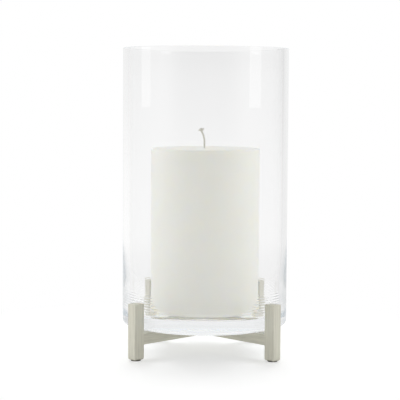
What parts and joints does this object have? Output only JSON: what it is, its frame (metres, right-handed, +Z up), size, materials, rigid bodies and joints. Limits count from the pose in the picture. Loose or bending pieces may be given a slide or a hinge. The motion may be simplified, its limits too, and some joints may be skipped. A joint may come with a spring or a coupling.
{
  "type": "hurricane candle lantern",
  "caption": "Clear heavy glass cylinder on a low crossed-bar metal stand with upright posts at its corners, holding a plain pillar candle that lifts out of the glass.",
  "frame": {"origin": "on the table, under the middle of the glass", "axes": "+Z up, front towards -Y, posts on the diagonals between X and Y"},
  "size_m": [0.154, 0.154, 0.2816],
  "materials": {
    "satin_nickel": "satin nickel plate over welded and ground bar",
    "rubber_pad": "dark moulded rubber",
    "clear_glass": "clear, blown, fire-polished rim",
    "ivory_wax": "smooth moulded paraffin wax",
    "cotton_wick": "braided cotton, unlit",
    "tinned_tab": "bright stamped tinplate"
  },
  "bodies": {
    "stand": {"lower_cross_bar": "satin_nickel", "upper_cross_bar": "satin_nickel", "front_left_post": "satin_nickel", "front_right_post": "satin_nickel", "rear_left_post": "satin_nickel", "rear_right_post": "satin_nickel", "front_left_foot_pad": "rubber_pad", "front_right_foot_pad": "rubber_pad", "rear_left_foot_pad": "rubber_pad", "rear_right_foot_pad": "rubber_pad"},
    "glass": {"glass_cylinder": "clear_glass"},
    "candle": {"pillar_candle": "ivory_wax", "wick": "cotton_wick", "wick_tab": "tinned_tab"}
  },
  "joints": [
    {"name": "glass_lift", "type": "slide", "parent": "stand", "child": "glass", "axis": [0, 0, 1], "range_m": [0, 0.06]},
    {"name": "candle_lift", "type": "slide", "parent": "glass", "child": "candle", "axis": [0, 0, 1], "range_m": [0, 0.26]}
  ]
}
